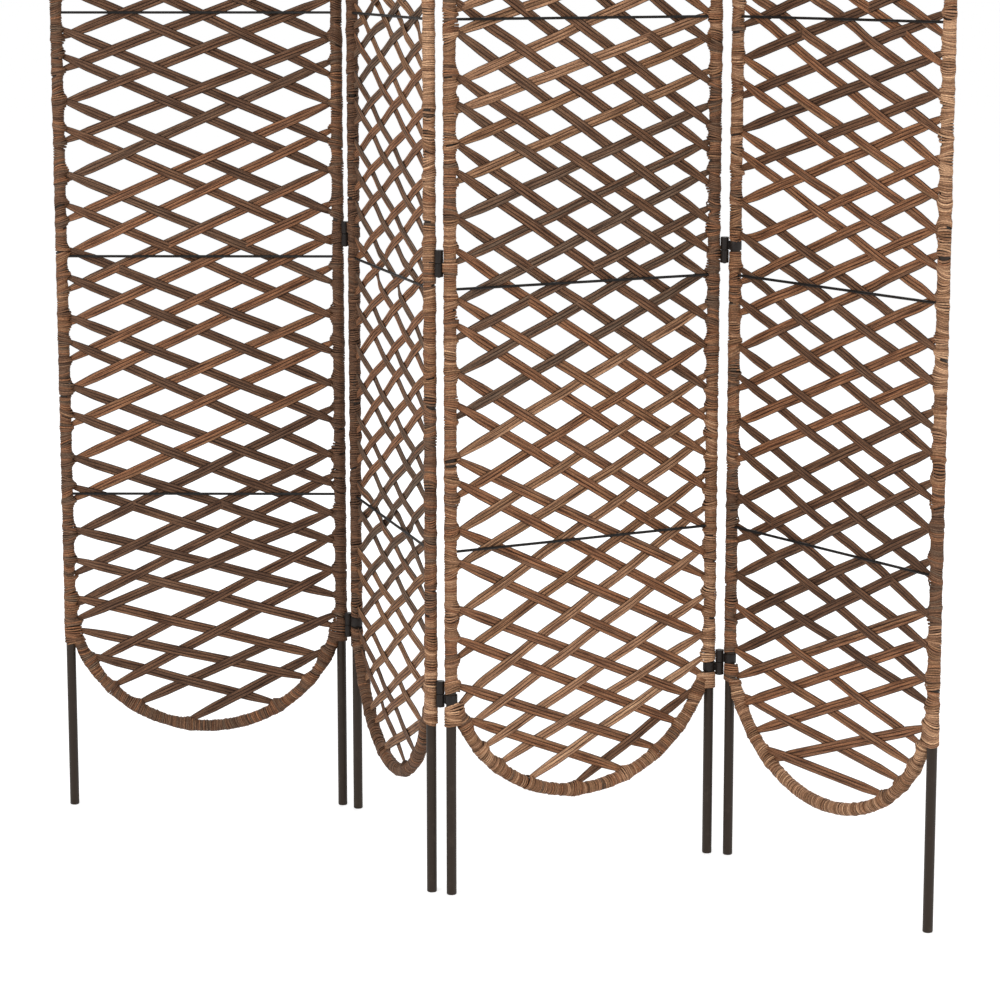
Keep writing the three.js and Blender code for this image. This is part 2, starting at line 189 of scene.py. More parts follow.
def stained_rattan(name):
    material, shader = new_material(name)
    tone = add(material, "ShaderNodeAttribute", attribute_name="tone")
    strand = add(material, "ShaderNodeAttribute", attribute_name="strand")
    dye = add(material, "ShaderNodeValToRGB", {"Fac": tone.outputs["Fac"]})
    set_ramp(dye, [(position, colour) for colour, position in DYES.values()])

    stretched = add(material, "ShaderNodeVectorMath", {0: strand.outputs["Vector"]},
                    operation="MULTIPLY")
    stretched.inputs[1].default_value = (1 / FIBRE_LENGTH, 1 / FIBRE_WIDTH, 0.0)
    fibre = add(material, "ShaderNodeTexNoise", {"Vector": stretched.outputs[0]},
                input_Scale=1.0, input_Detail=3.0, input_Roughness=0.65)
    speckled = add(material, "ShaderNodeVectorMath", {0: strand.outputs["Vector"]},
                   operation="MULTIPLY")
    speckled.inputs[1].default_value = (1 / FLECK_LENGTH, 1 / FLECK_WIDTH, 0.0)
    fleck = add(material, "ShaderNodeTexNoise", {"Vector": speckled.outputs[0]},
                input_Scale=1.0, input_Detail=2.0, input_Roughness=0.5)

    lines = add(material, "ShaderNodeValToRGB", {"Fac": fibre.outputs["Fac"]})
    set_ramp(lines, PITH)
    dyed = add(material, "ShaderNodeVectorMath",
               {0: dye.outputs["Color"], 1: lines.outputs["Color"]}, operation="MULTIPLY")
    specks = add(material, "ShaderNodeMapRange", {"Value": fleck.outputs["Fac"]},
                 input_From_Min=0.34, input_From_Max=0.66, input_To_Min=0.66, input_To_Max=1.26)
    place = add(material, "ShaderNodeSeparateXYZ", {"Vector": strand.outputs["Vector"]})
    # Painted shade: the strands' edges are darkened, standing in for the shade in the grooves
    # between them.
    edge = add(material, "ShaderNodeMapRange", {"Value": place.outputs["Z"]},
               input_From_Min=0.48, input_From_Max=0.92, input_To_Min=1.0, input_To_Max=0.10,
               interpolation_type="SMOOTHSTEP")
    shade = add(material, "ShaderNodeMath", {0: specks.outputs[0], 1: edge.outputs[0]},
                operation="MULTIPLY")
    coloured = add(material, "ShaderNodeVectorMath",
                   {0: dyed.outputs[0], "Scale": shade.outputs[0]}, operation="SCALE")
    plug(material, coloured.outputs[0], shader, "Base Color")

    rough = add(material, "ShaderNodeMapRange", {"Value": fibre.outputs["Fac"]},
                input_From_Min=0.3, input_From_Max=0.7, input_To_Min=0.80, input_To_Max=0.55)
    plug(material, rough.outputs[0], shader, "Roughness")
    shader.inputs["Specular IOR Level"].default_value = 0.25
    bump = add(material, "ShaderNodeBump", {"Height": fibre.outputs["Fac"]},
               input_Strength=0.8, input_Distance=0.4 * MM)
    plug(material, bump.outputs["Normal"], shader, "Normal")
    return material


RATTAN = stained_rattan("stained rattan strand")
print("dyes:", ", ".join(DYES))

# %% [markdown]
# ## Where each panel stands
#
# Each panel is built flat, in a frame of its own: X runs from its left leg to its right leg, Y
# is square to it, away from the camera side, and Z is up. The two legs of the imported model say
# where that frame lies, so a finished piece is turned and moved by one matrix.

# %% Panel frames
PANELS = (1, 2, 3, 4)


def middle(node):
    low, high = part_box(node)
    return (low + high) / 2


def panel_matrix(panel):
    left = middle(f"panel_{panel}_left_leg")
    right = middle(f"panel_{panel}_right_leg")
    turn = math.atan2(right.y - left.y, right.x - left.x)
    return Matrix.Translation((left.x, left.y, 0)) @ Matrix.Rotation(turn, 4, "Z")


TO_ROW = {panel: panel_matrix(panel) for panel in PANELS}
LEG_SPACING = (middle("panel_1_right_leg") - middle("panel_1_left_leg")).xy.length / MM
for panel in PANELS:
    print("panel", panel, "turned", round(math.degrees(TO_ROW[panel].to_euler().z), 1))
print("leg spacing", round(LEG_SPACING, 2), "mm")

# %% [markdown]
# ## Two small habits
#
# An operator acts on all that is selected, so a piece is first made the only one selected. When
# it is done, its place goes into its mesh and it rides on its panel.

# %% Selecting and finishing a piece
def only(*pieces):
    if bpy.context.mode != "OBJECT":
        bpy.ops.object.mode_set(mode="OBJECT")
    bpy.ops.object.select_all(action="DESELECT")
    for piece in pieces:
        piece.select_set(True)
    bpy.context.view_layer.objects.active = pieces[0]


def apply_place(piece):
    only(piece)
    bpy.ops.object.transform_apply(location=True, rotation=True, scale=True)


def finish(piece, name, panel, material, slot, *stands_for):
    """Names a piece made in its panel's frame, puts it in place and lets it ride."""
    piece.name = piece.data.name = name
    apply_place(piece)
    piece.data.transform(TO_ROW[panel])
    piece.data.materials.clear()
    piece.data.materials.append(material)
    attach(piece, f"panel_{panel}")
    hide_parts(*stands_for)
    return piece


def finish_wicker(piece, name, panel):
    return finish(piece, name, panel, RATTAN, "wicker", f"panel_{panel}_wicker")


def edit_where(piece, kind, test):
    """Opens a piece in edit mode with only the edges or faces selected that pass the test."""
    only(piece)
    bpy.ops.object.mode_set(mode="EDIT")
    bpy.ops.mesh.select_mode(type=kind)
    bpy.ops.mesh.select_all(action="DESELECT")
    bpy.ops.object.mode_set(mode="OBJECT")
    parts = piece.data.edges if kind == "EDGE" else piece.data.polygons
    for part in parts:
        part.select = test([piece.data.vertices[v].co for v in part.vertices])
    bpy.ops.object.mode_set(mode="EDIT")


def smooth(piece, degrees=40):
    only(piece)
    bpy.ops.object.shade_smooth_by_angle(angle=math.radians(degrees))

# %% [markdown]
# ## The legs
#
# A leg is a tube with a closed foot whose edge is rounded, so that it doesn't cut a floor. A
# cylinder with 32 sides looks round, and a bevel on its lowest ring gives the foot.

# %% Legs
TUBE_D = 13.0
FOOT_ROUND = 1.6


def leg(panel, side):
    node = f"panel_{panel}_{side}_leg"
    low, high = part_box(node)
    x = 0 if side == "left" else LEG_SPACING * MM
    bpy.ops.mesh.primitive_cylinder_add(vertices=32, radius=TUBE_D / 2 * MM,
                                        depth=high.z - low.z,
                                        location=(x, 0, (low.z + high.z) / 2))
    tube = bpy.context.object
    foot = -(high.z - low.z) / 2
    edit_where(tube, "EDGE", lambda ends: all(abs(p.z - foot) < 1e-5 for p in ends))
    bpy.ops.mesh.bevel(offset=FOOT_ROUND * MM, segments=4)
    smooth(tube)
    return finish(tube, f"{node}_tube", panel, TUBE_COAT, "tube_steel", node)


for panel in PANELS:
    for side in ("left", "right"):
        leg(panel, side)

# %% [markdown]
# ## The cross rods
#
# Four thin rods hold each panel's legs apart, in line with the legs' middles. Each ends in a small
# bead of weld on the tube, which is a swelling of the rod's own end.

# %% Cross rods
CROSS_ROD_D = 3.6
WELD_BEAD_D = 5.6
WELD_BEAD_LENGTH = 2.2
INTO_TUBE = 0.4  # how far a rod's end goes into the tube's curve
ROD_HEIGHTS = [middle(f"panel_1_cross_rod_{i}").z / MM for i in (1, 2, 3, 4)]


def cross_rod(panel, number):
    node = f"panel_{panel}_cross_rod_{number}"
    half = (LEG_SPACING - TUBE_D + 2 * INTO_TUBE) / 2
    bpy.ops.mesh.primitive_cylinder_add(vertices=14, radius=CROSS_ROD_D / 2 * MM,
                                        depth=2 * half * MM)
    rod = bpy.context.object
    for end in (-1, 1):
        only(rod)
        bpy.ops.object.mode_set(mode="EDIT")
        bpy.ops.mesh.select_all(action="SELECT")
        bpy.ops.mesh.bisect(plane_co=(0, 0, end * (half - WELD_BEAD_LENGTH) * MM),
                            plane_no=(0, 0, 1))
        edit_where(rod, "FACE", lambda ring: all(p.z * end > (half - 0.1) * MM for p in ring))
        bpy.ops.transform.resize(value=(WELD_BEAD_D / CROSS_ROD_D,) * 2 + (1,))
    smooth(rod, 60)
    rod.rotation_euler = (0, math.pi / 2, 0)
    rod.location = (LEG_SPACING / 2 * MM, 0, ROD_HEIGHTS[number - 1] * MM)
    return finish(rod, f"{node}_round", panel, ROD_COAT, "rod_steel", node)


for panel in PANELS:
    for number in (1, 2, 3, 4):
        cross_rod(panel, number)
print("cross rods at", [round(z) for z in ROD_HEIGHTS], "mm")

# %% [markdown]
# ## The bent rods
#
# The arc at each end of a panel is a bent rod that stays hidden under its winding, so the packed
# solid is kept and only gets its finish.

# %% Bent rods
for panel in PANELS:
    for arc in ("bottom", "top"):
        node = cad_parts[f"panel_{panel}_{arc}_arc"]
        node.data.materials.clear()
        node.data.materials.append(TUBE_COAT)
print("bent rods keep their packed solids")

# %% [markdown]
# ## The hinges
#
# Each hinge is a pair of leaves. A leaf is a strap round one leg, an arm, and a knuckle. The
# knuckle of one leaf holds the pin and the other one turns on it, so each leaf rides on its own
# panel. The pin line lies 11 mm beyond the leg and 9 mm to the inside of the fold.

# %% Hinge sizes
PIN_BEYOND_LEG = 11.0
PIN_OFF_PANEL = 9.0
KNUCKLE_D = 11.0
KNUCKLE_LENGTH = 16.8
KNUCKLE_GAP = 0.4
STRAP_INSIDE_D = 13.4
STRAP_THICKNESS = 1.5
STRAP_HEIGHT = 12.0
ARM_THICKNESS = 3.0
ARM_HEIGHT = STRAP_HEIGHT - 0.4
ARM_INTO_STRAP = 0.6
PIN_HEAD_D = 5.2
STRAP_FROM_MIDDLE = (KNUCKLE_GAP + STRAP_HEIGHT) / 2  # of a barrel, up or down
INSIDE_OF_FOLD = {1: -1, 2: 1, 3: -1}  # the fold after each panel: towards the camera is -1
HINGE_NAMES = ("low", "middle", "high")


def barrel_middles(fold):
    """Heights of the middles of a fold's three barrels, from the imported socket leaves."""
    return [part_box(f"hinge_{fold}_{fold + 1}_{name}_socket_leaf")[0].z / MM - KNUCKLE_GAP / 2
            for name in HINGE_NAMES]


print("barrels at", [round(z) for z in barrel_middles(1)], "mm")

# %% [markdown]
# A strap is an open ring given its thickness by Solidify, because it is bent from flat bar. The
# arm is a block and the knuckle a cylinder, both with rolled edges from a Bevel modifier, which
# is what catches the light on such small parts.

# %% Hinge leaf
def rolled(piece, width, segments=2):
    only(piece)
    bevel = piece.modifiers.new("rolled edges", "BEVEL")
    bevel.width = width * MM
    bevel.segments = segments
    bevel.limit_method = "ANGLE"
    bpy.ops.object.modifier_apply(modifier=bevel.name)


def strap(centre_x, centre_z):
    radius = STRAP_INSIDE_D / 2 + STRAP_THICKNESS
    bpy.ops.mesh.primitive_cylinder_add(vertices=32, radius=radius * MM,
                                        depth=STRAP_HEIGHT * MM, end_fill_type="NOTHING",
                                        location=(centre_x * MM, 0, centre_z * MM))
    ring = bpy.context.object
    only(ring)
    wall = ring.modifiers.new("bar thickness", "SOLIDIFY")
    wall.thickness = STRAP_THICKNESS * MM
    wall.offset = -1
    bpy.ops.object.modifier_apply(modifier=wall.name)
    rolled(ring, 0.35)
    return ring


def arm(leg_x, pin_x, pin_y, centre_z):
    reach = math.hypot(pin_x - leg_x, pin_y)
    start = STRAP_INSIDE_D / 2 + ARM_INTO_STRAP
    length = reach - start
    bpy.ops.mesh.primitive_cube_add(size=1, scale=(length * MM, ARM_THICKNESS * MM,
                                                   ARM_HEIGHT * MM))
    bar = bpy.context.object
    along = Vector((pin_x - leg_x, pin_y, 0)).normalized()
    bar.rotation_euler.z = math.atan2(along.y, along.x)
    bar.location = Vector((leg_x, 0, centre_z)) * MM + along * (start + length / 2) * MM
    apply_place(bar)
    rolled(bar, 0.5)
    return bar


def knuckle(pin_x, pin_y, low_z, high_z):
    bpy.ops.mesh.primitive_cylinder_add(vertices=24, radius=KNUCKLE_D / 2 * MM,
                                        depth=(high_z - low_z) * MM,
                                        location=(pin_x * MM, pin_y * MM,
                                                  (low_z + high_z) / 2 * MM))
    barrel = bpy.context.object
    rolled(barrel, 0.7, 3)
    return barrel


def pin_head(pin_x, pin_y, z):
    """The rounded end of the pin, which shows as a button on the end of the barrel."""
    bpy.ops.mesh.primitive_uv_sphere_add(segments=20, ring_count=10,
                                         radius=PIN_HEAD_D / 2 * MM,
                                         location=(pin_x * MM, pin_y * MM, z * MM),
                                         scale=(1, 1, 0.42))
    return bpy.context.object


def leaf(fold, hinge, panel, is_socket):
    name = f"hinge_{fold}_{fold + 1}_{HINGE_NAMES[hinge]}_"
    node = name + ("socket_leaf" if is_socket else "pin_leaf")
    on_right = panel == fold
    leg_x = LEG_SPACING if on_right else 0.0
    pin_x = leg_x + (PIN_BEYOND_LEG if on_right else -PIN_BEYOND_LEG)
    pin_y = INSIDE_OF_FOLD[fold] * PIN_OFF_PANEL
    middle_z = barrel_middles(fold)[hinge]
    up = 1 if is_socket else -1
    near, far = (middle_z + up * d for d in (KNUCKLE_GAP / 2, KNUCKLE_GAP / 2 + KNUCKLE_LENGTH))
    centre = middle_z + up * STRAP_FROM_MIDDLE
    parts = [strap(leg_x, centre), arm(leg_x, pin_x, pin_y, centre),
             knuckle(pin_x, pin_y, min(near, far), max(near, far))]
    if not is_socket:
        parts.append(pin_head(pin_x, pin_y, far - 0.15))
    only(*parts)
    bpy.ops.object.join()
    made = bpy.context.object
    smooth(made, 35)
    return finish(made, node + "_steel", panel, HINGE_COAT, "hinge_steel", node)


for fold in (1, 2, 3):
    for hinge in range(3):
        for panel in (fold, fold + 1):
            leaf(fold, hinge, panel, is_socket=panel % 2 == 0)
print("hinge leaves: 18")

# %% [markdown]
# ## One strand
#
# Everything woven or wound here is a long flat strand. In Blender that is a curve with a small
# closed curve as its bevel object. The profile's Y axis is the strand's width and stays upright
# while "Z up" is the curve's twist method, which is right for bands that cross a panel and for
# turns round a leg. A point's radius scales the profile, so a strand can taper where it is pulled
# tight. Two attributes are then written for the rattan material: where each vertex is along and
# across its strand, and its dye.

# %% Sections and strands
ROUNDED = [(0.0, -1.0), (0.72, -0.72), (1.0, 0.0), (0.72, 0.72), (0.0, 1.0), (-0.72, 0.72),
           (-1.0, 0.0), (-0.72, -0.72)]
NEXT_ALONG, NEXT_ACROSS = 0.37, 0.011  # m, so that no two strands show the same fibres


def section(name, half_width, half_thickness):
    """The closed outline of a strand."""
    outline = [(t * half_thickness * MM, w * half_width * MM, 0, 1) for t, w in ROUNDED]
    data = bpy.data.curves.new(name, "CURVE")
    data.dimensions = "2D"
    spline = data.splines.new("POLY")
    spline.points.add(len(outline) - 1)
    spline.points.foreach_set("co", np.ravel(outline))
    spline.use_cyclic_u = True
    curve = bpy.data.objects.new(name, data)
    bpy.context.scene.collection.objects.link(curve)
    return curve


def strands(name, profile, paths, groove_shade=1.0):
    """A mesh of strands. A path is (points in mm, sizes, tones), each with a row per point.

    The last argument sets how strong the painted shade at the strands' edges is.
    """
    data = bpy.data.curves.new(name, "CURVE")
    data.dimensions = "3D"
    data.twist_mode = "Z_UP"
    data.bevel_mode = "OBJECT"
    data.bevel_object = profile
    for points, sizes, _ in paths:
        spline = data.splines.new("POLY")
        spline.points.add(len(points) - 1)
        spline.points.foreach_set("co", np.c_[points * MM, np.ones(len(points))].ravel())
        spline.points.foreach_set("radius", sizes)
    piece = bpy.data.objects.new(name, data)
    bpy.context.scene.collection.objects.link(piece)
    only(piece)
    bpy.ops.object.convert(target="MESH")
    piece = bpy.context.object

    outline = np.array([p.co[:2] for p in profile.data.splines[0].points])
    across_one = np.cumsum(np.r_[0, np.hypot(*np.diff(outline, axis=0).T)])
    # Painted shade: nearness to the strand's edge, times its strength, darkens the grooves between
    # strands.
    edge_one = groove_shade * abs(outline[:, 1]) / abs(outline[:, 1]).max()
    where, tones = [], []
    for number, (points, _, tone) in enumerate(paths):
        steps = np.hypot(*np.diff(points[:, :2], axis=0).T) + abs(np.diff(points[:, 2]))
        along = np.cumsum(np.r_[0, steps]) * MM
        rows = np.repeat(along, len(outline)) + NEXT_ALONG * (number % 101)
        across = np.tile(across_one, len(points)) + NEXT_ACROSS * (number % 97)
        where.append(np.c_[rows, across, np.tile(edge_one, len(points))])
        tones.append(np.repeat(tone, len(outline)))
    where, tones = np.concatenate(where), np.concatenate(tones)
    assert len(where) == len(piece.data.vertices), "a strand lost or gained vertices"
    piece.data.attributes.new("strand", "FLOAT_VECTOR", "POINT").data.foreach_set(
        "vector", where.ravel())
    piece.data.attributes.new("tone", "FLOAT", "POINT").data.foreach_set("value", tones)

    bpy.ops.object.mode_set(mode="EDIT")
    bpy.ops.mesh.select_all(action="SELECT")
    bpy.ops.mesh.fill_holes(sides=len(outline))
    bpy.ops.mesh.flip_normals()
    bpy.ops.object.mode_set(mode="OBJECT")
    bpy.ops.object.shade_smooth()
    return piece


BAND_STRAND_WIDTH = 4.9
BAND_STRAND_THICKNESS = 1.7
WOUND_STRAND_WIDTH = 2.9
WOUND_STRAND_THICKNESS = 1.5
band_section = section("band strand section", BAND_STRAND_WIDTH / 2, BAND_STRAND_THICKNESS / 2)
wound_section = section("wound strand section", WOUND_STRAND_WIDTH / 2,
                        WOUND_STRAND_THICKNESS / 2)

# %% [markdown]
# ## The plan of the weave
#
# The weave was laid by hand, so no two spacings are equal and every band has its own slope. The
# plan notes, for each panel, the height of every falling and rising band at the left and at the
# right leg. Above the last one noted, the plan is turned half round, because the top of a panel is
# made like its bottom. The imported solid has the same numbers.

# %% Weave plan
WEAVES = {
    1: {"falling": [
        (226, 124), (258, 176), (304, 211), (359, 259), (403, 304), (464, 339), (507, 381),
        (569, 419), (608, 462), (671, 502), (706, 553), (762, 604), (800, 650), (862, 700),
        (906, 748), (968, 803), (1006, 845), (1067, 902), (1103, 943), (1162, 996), (1213, 1034),
    ], "rising": [
        (36, 240), (105, 283), (142, 349), (192, 397), (267, 432), (288, 483), (333, 518),
        (389, 579), (440, 618), (495, 671), (547, 716), (597, 777), (639, 819), (690, 865),
        (737, 913), (786, 966), (834, 1003), (890, 1060), (944, 1091), (996, 1145), (1042, 1189),
    ]},
    2: {"falling": [
        (248, 78), (267, 140), (296, 202), (352, 253), (381, 303), (442, 333), (475, 378),
        (536, 406), (572, 454), (628, 509), (670, 541), (728, 593), (770, 623), (820, 670),
        (870, 702), (918, 759), (954, 797), (1008, 846), (1047, 877), (1099, 930), (1139, 966),
        (1196, 1012), (1227, 1051),
    ], "rising": [
        (63, 233), (106, 290), (126, 326), (175, 386), (236, 427), (274, 474), (319, 518),
        (368, 564), (412, 599), (458, 645), (498, 682), (540, 734), (591, 766), (645, 816),
        (692, 844), (735, 900), (784, 930), (834, 980), (879, 1017), (924, 1068), (970, 1104),
        (1019, 1149), (1062, 1187),
    ]},
    3: {"falling": [
        (240, 78), (280, 124), (342, 166), (382, 210), (443, 248), (484, 298), (546, 333),
        (575, 380), (646, 409), (686, 446), (748, 498), (780, 544), (842, 590), (882, 632),
        (941, 686), (975, 724), (1025, 779), (1059, 814), (1114, 852), (1151, 901), (1204, 944),
        (1241, 978), (1292, 1032),
    ], "rising": [
        (14, 245), (82, 278), (134, 310), (167, 362), (206, 429), (250, 482), (308, 526),
        (363, 576), (426, 614), (472, 659), (519, 703), (570, 752), (621, 796), (675, 845),
        (722, 878), (766, 926), (818, 965), (872, 1012), (919, 1056), (965, 1100), (1007, 1128),
        (1041, 1190),
    ]},
    4: {"falling": [
        (167, 153), (230, 174), (288, 200), (350, 230), (391, 289), (458, 316), (500, 358),
        (563, 397), (600, 446), (659, 504), (698, 543), (759, 598), (800, 630), (846, 685),
        (887, 727), (952, 784), (978, 826), (1044, 868), (1075, 908), (1141, 948), (1162, 987),
        (1220, 1030), (1254, 1068),
    ], "rising": [
        (15, 235), (120, 264), (160, 329), (203, 374), (243, 412), (276, 476), (324, 517),
        (381, 573), (430, 612), (481, 660), (539, 702), (588, 747), (634, 798), (687, 850),
        (734, 883), (775, 928), (824, 966), (880, 1012), (924, 1044), (974, 1089), (1018, 1136),
        (1065, 1180),
    ]},
}
# Dye lots from the floor up: each starts at a height at the left leg.
LOTS = {
    1: {"falling": [(0, "dark"), (300, "brown"), (400, "dark"), (850, "brown"), (1000, "dark"),
                    (1300, "brown"), (1550, "dark")],
        "rising": [(0, "dark"), (430, "copper"), (880, "brown"), (1020, "dark"),
                   (1250, "copper"), (1500, "brown")]},
    2: {"falling": [(0, "brown"), (290, "straw"), (430, "weathered"), (1130, "straw"),
                    (1350, "brown"), (1600, "copper")],
        "rising": [(0, "straw"), (260, "weathered"), (450, "copper"), (960, "weathered"),
                   (1200, "straw"), (1450, "brown")]},
    3: {"falling": [(0, "copper"), (860, "brown"), (1350, "copper"), (1600, "dark")],
        "rising": [(0, "brown"), (60, "tan"), (290, "straw"), (600, "weathered"),
                   (900, "straw"), (990, "tan"), (1200, "copper"), (1450, "straw")]},
    4: {"falling": [(0, "copper"), (380, "dark"), (650, "brown"), (940, "copper"),
                    (1300, "brown"), (1550, "dark")],
        "rising": [(0, "copper"), (260, "dark"), (370, "brown"), (530, "copper"),
                   (900, "brown"), (960, "dark"), (1200, "copper"), (1500, "straw")]},
}
ARC_RADIUS = 192.0
ARC_ROD_D = 8.0
arc_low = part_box("panel_1_bottom_arc")[0].z / MM + ARC_ROD_D / 2 * math.cos(math.pi / 6)
arc_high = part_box("panel_1_top_arc")[1].z / MM - ARC_ROD_D / 2 * math.cos(math.pi / 6)
CENTRE_LOW, CENTRE_HIGH = arc_low + ARC_RADIUS, arc_high - ARC_RADIUS
BAND_STOPS_SHORT = 5.9  # of an arc's middle line
ARC_INNER_R = ARC_RADIUS - BAND_STOPS_SHORT
SHORTEST_BAND = 150.0  # shorter ones are left out
TUBE_GAP = 0.3  # to what ends beside a tube
print("arcs from", round(arc_low, 1), "to", round(arc_high, 1), "mm")


def span_in_frame(start, slope):
    """Where a sloping line is inside the legs and arcs: (low x, high x), or None."""
    low, high = TUBE_D / 2 + TUBE_GAP, LEG_SPACING - TUBE_D / 2 - TUBE_GAP
    for centre, side in ((CENTRE_LOW, -1), (CENTRE_HIGH, 1)):
        rise = start - centre
        a, b = 1 + slope ** 2, 2 * (slope * rise - LEG_SPACING / 2)
        root = b * b - 4 * a * ((LEG_SPACING / 2) ** 2 + rise ** 2 - ARC_INNER_R ** 2)
        low_beyond = side * (rise + slope * low) > 0
        high_beyond = side * (rise + slope * high) > 0
        if (low_beyond or high_beyond) and root <= 0:
            return None
        if low_beyond:
            low = max(low, (-b - math.sqrt(root)) / (2 * a))
        if high_beyond:
            high = min(high, (-b + math.sqrt(root)) / (2 * a))
    return (low, high) if high - low > SHORTEST_BAND else None


def lot_at(lots, height):
    """The dye lot in use at a height."""
    return [name for start, name in lots if start <= height][-1]


BAND_WIDTH = 13.5


def noted_and_turned(noted):
    """All the bands of a plan, as heights at the left and the right leg, from the lowest."""
    bands = list(noted)
    while min(bands[-1]) < arc_high:
        both = sum(bands[-1])
        bands += [(both - right, both - left) for left, right in reversed(bands[:-1])]
    return bands


def bands_of(panel, family):
    """The bands of one family: number, start height, slope, reach and dye lot."""
    found = []
    for i, (left, right) in enumerate(noted_and_turned(WEAVES[panel][family])):
        slope = (right - left) / LEG_SPACING
        half = BAND_WIDTH / 2 * math.hypot(1, slope)
        edges = [span_in_frame(left + e * half, slope) for e in (-1, 0, 1)]
        if all(edges):
            found.append({"number": i, "start": left, "slope": slope, "reach": edges[1],
                          "dye": lot_at(LOTS[panel][family], left)})
    return found


BANDS = {p: {f: bands_of(p, f) for f in ("falling", "rising")} for p in PANELS}
for panel in PANELS:
    print("panel", panel, {f: len(b) for f, b in BANDS[panel].items()})

# %% [markdown]
# ## Over and under
#
# This is a plain weave: a band passes over one band and under the next. With the bands of both
# families numbered from the floor up, the falling band is in front where the difference of the
# two numbers is even, or odd, depending on the panel. The thin cross rods lie in front of the
# weave, so near a rod the weave is pushed back behind it.

# %% Crossings
CROSSING_DEPTH = 1.05  # of a band's middle from the weave's plane
ROD_DEPTH = 3.9  # how far the weave's plane goes back behind a cross rod
ROD_PUSH_LENGTH = 34.0  # over which it goes back
ROD_CLEAR = 4  # how far past the band's edge it is all the way back
FRONT, BEHIND = -1, 1
FALLING_IN_FRONT = {1: 1, 2: 1, 3: 0, 4: 1}  # parity of the difference of numbers


def crossings(panel, family, band):
    """[(x, side)] along a band, in order."""
    other = "rising" if family == "falling" else "falling"
    found = []
    for crossed in BANDS[panel][other]:
        x = (band["start"] - crossed["start"]) / (crossed["slope"] - band["slope"])
        falling_in_front = ((band["number"] - crossed["number"]) % 2
                            == FALLING_IN_FRONT[panel])
        found.append((x, FRONT if falling_in_front == (family == "falling") else BEHIND))
    return sorted(found)


def depth_along(x, band, crossed):
    """How far the band's middle is off the panel's plane at each x: negative is in front."""
    xs = np.array([c[0] for c in crossed])
    sides = np.array([c[1] for c in crossed], float)
    place = np.clip(np.searchsorted(xs, x) - 1, 0, len(xs) - 2)
    t = np.clip((x - xs[place]) / (xs[place + 1] - xs[place]), 0, 1)
    swing = (1 - np.cos(math.pi * t)) / 2
    depth = CROSSING_DEPTH * (sides[place] * (1 - swing) + sides[place + 1] * swing)
    for z in ROD_HEIGHTS:
        rod_x = (z - band["start"]) / band["slope"]
        hidden = BAND_WIDTH / 2 * math.hypot(1, band["slope"]) / abs(band["slope"]) + ROD_CLEAR
        near = np.clip(1 - (abs(x - rod_x) - hidden) / ROD_PUSH_LENGTH, 0, 1)
        depth = depth + ROD_DEPTH * near * near * (3 - 2 * near)
    return depth


print("the 13th falling band of panel 1 crosses at",
      [(round(x), s) for x, s in crossings(1, "falling", BANDS[1]["falling"][12])][:4])

# %% [markdown]
# ## The bands
#
# A band is three strands side by side. In the open they lie flat next to each other. In the last
# few centimetres before the frame they are gathered to about half the width, and their ends go
# in under the winding, which holds them. The strands wander a little, because nothing holds
# them apart but their neighbours.

# %% Band strands
STRAND_PITCH = 4.40
STEP = 8.5
GATHER = 36.0  # length over which the strands are gathered
GATHERED = 0.36  # of the strands' spacing, at the frame
UNDER_WINDING = 0.7  # a band's end stops this far off the tube
STRAY_ACROSS, STRAY_DEEP, STRAY_SIZE = 0.18, 0.16, 0.04  # how far a strand wanders
BAND_TILT = 0.18  # of its outer strands, at most
BAND_TONE, STRAND_TONE = 0.03, 0.05  # how much bands of one lot differ, and a band's strands
# The hinges, counted from the low one, whose straps the winding leaves bare.
BARE_STRAPS = {(2, "left"): (0,), (3, "left"): (0,), (3, "right"): (0,), (4, "left"): (0, 1)}
STRAP_CLEAR = STRAP_HEIGHT / 2 + 5  # least distance of a band's end from a bare strap's middle
STRAP_NEAR = 34.0  # only bands that end this near to a leg have to keep clear
BEND_RUN = 48.0  # length over which a band bends to keep clear


def wander(rng, count, size, every=5):
    """A smooth random line."""
    knots = rng.uniform(-size, size, count // every + 3)
    return np.interp(np.arange(count) / every, np.arange(len(knots)), knots)


def strap_heights(panel, side):
    """Heights at which hinge straps hold a leg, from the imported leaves."""
    fold = panel - 1 if side == "left" else panel
    if fold not in INSIDE_OF_FOLD:
        return []
    up = 1 if panel % 2 == 0 else -1
    return [z + up * STRAP_FROM_MIDDLE for z in barrel_middles(fold)]


def bare_straps(panel, side):
    """Heights of the straps that the winding leaves bare. It goes over the others."""
    return [z for hinge, z in enumerate(strap_heights(panel, side))
            if hinge in BARE_STRAPS.get((panel, side), ())]


def clear_of_straps(panel, side, x, z):
    """Where a band's end goes: (x, rise), moved along the leg if a bare strap is in its way."""
    leg_x, inward = (0, 1) if side == "left" else (LEG_SPACING, -1)
    for strap_z in bare_straps(panel, side):
        if abs(z - strap_z) < STRAP_CLEAR and abs(x - leg_x) < STRAP_NEAR:
            target = strap_z + math.copysign(STRAP_CLEAR, z - strap_z)
            return leg_x + inward * (TUBE_D / 2 + TUBE_GAP + UNDER_WINDING), target - z
    return x, 0.0


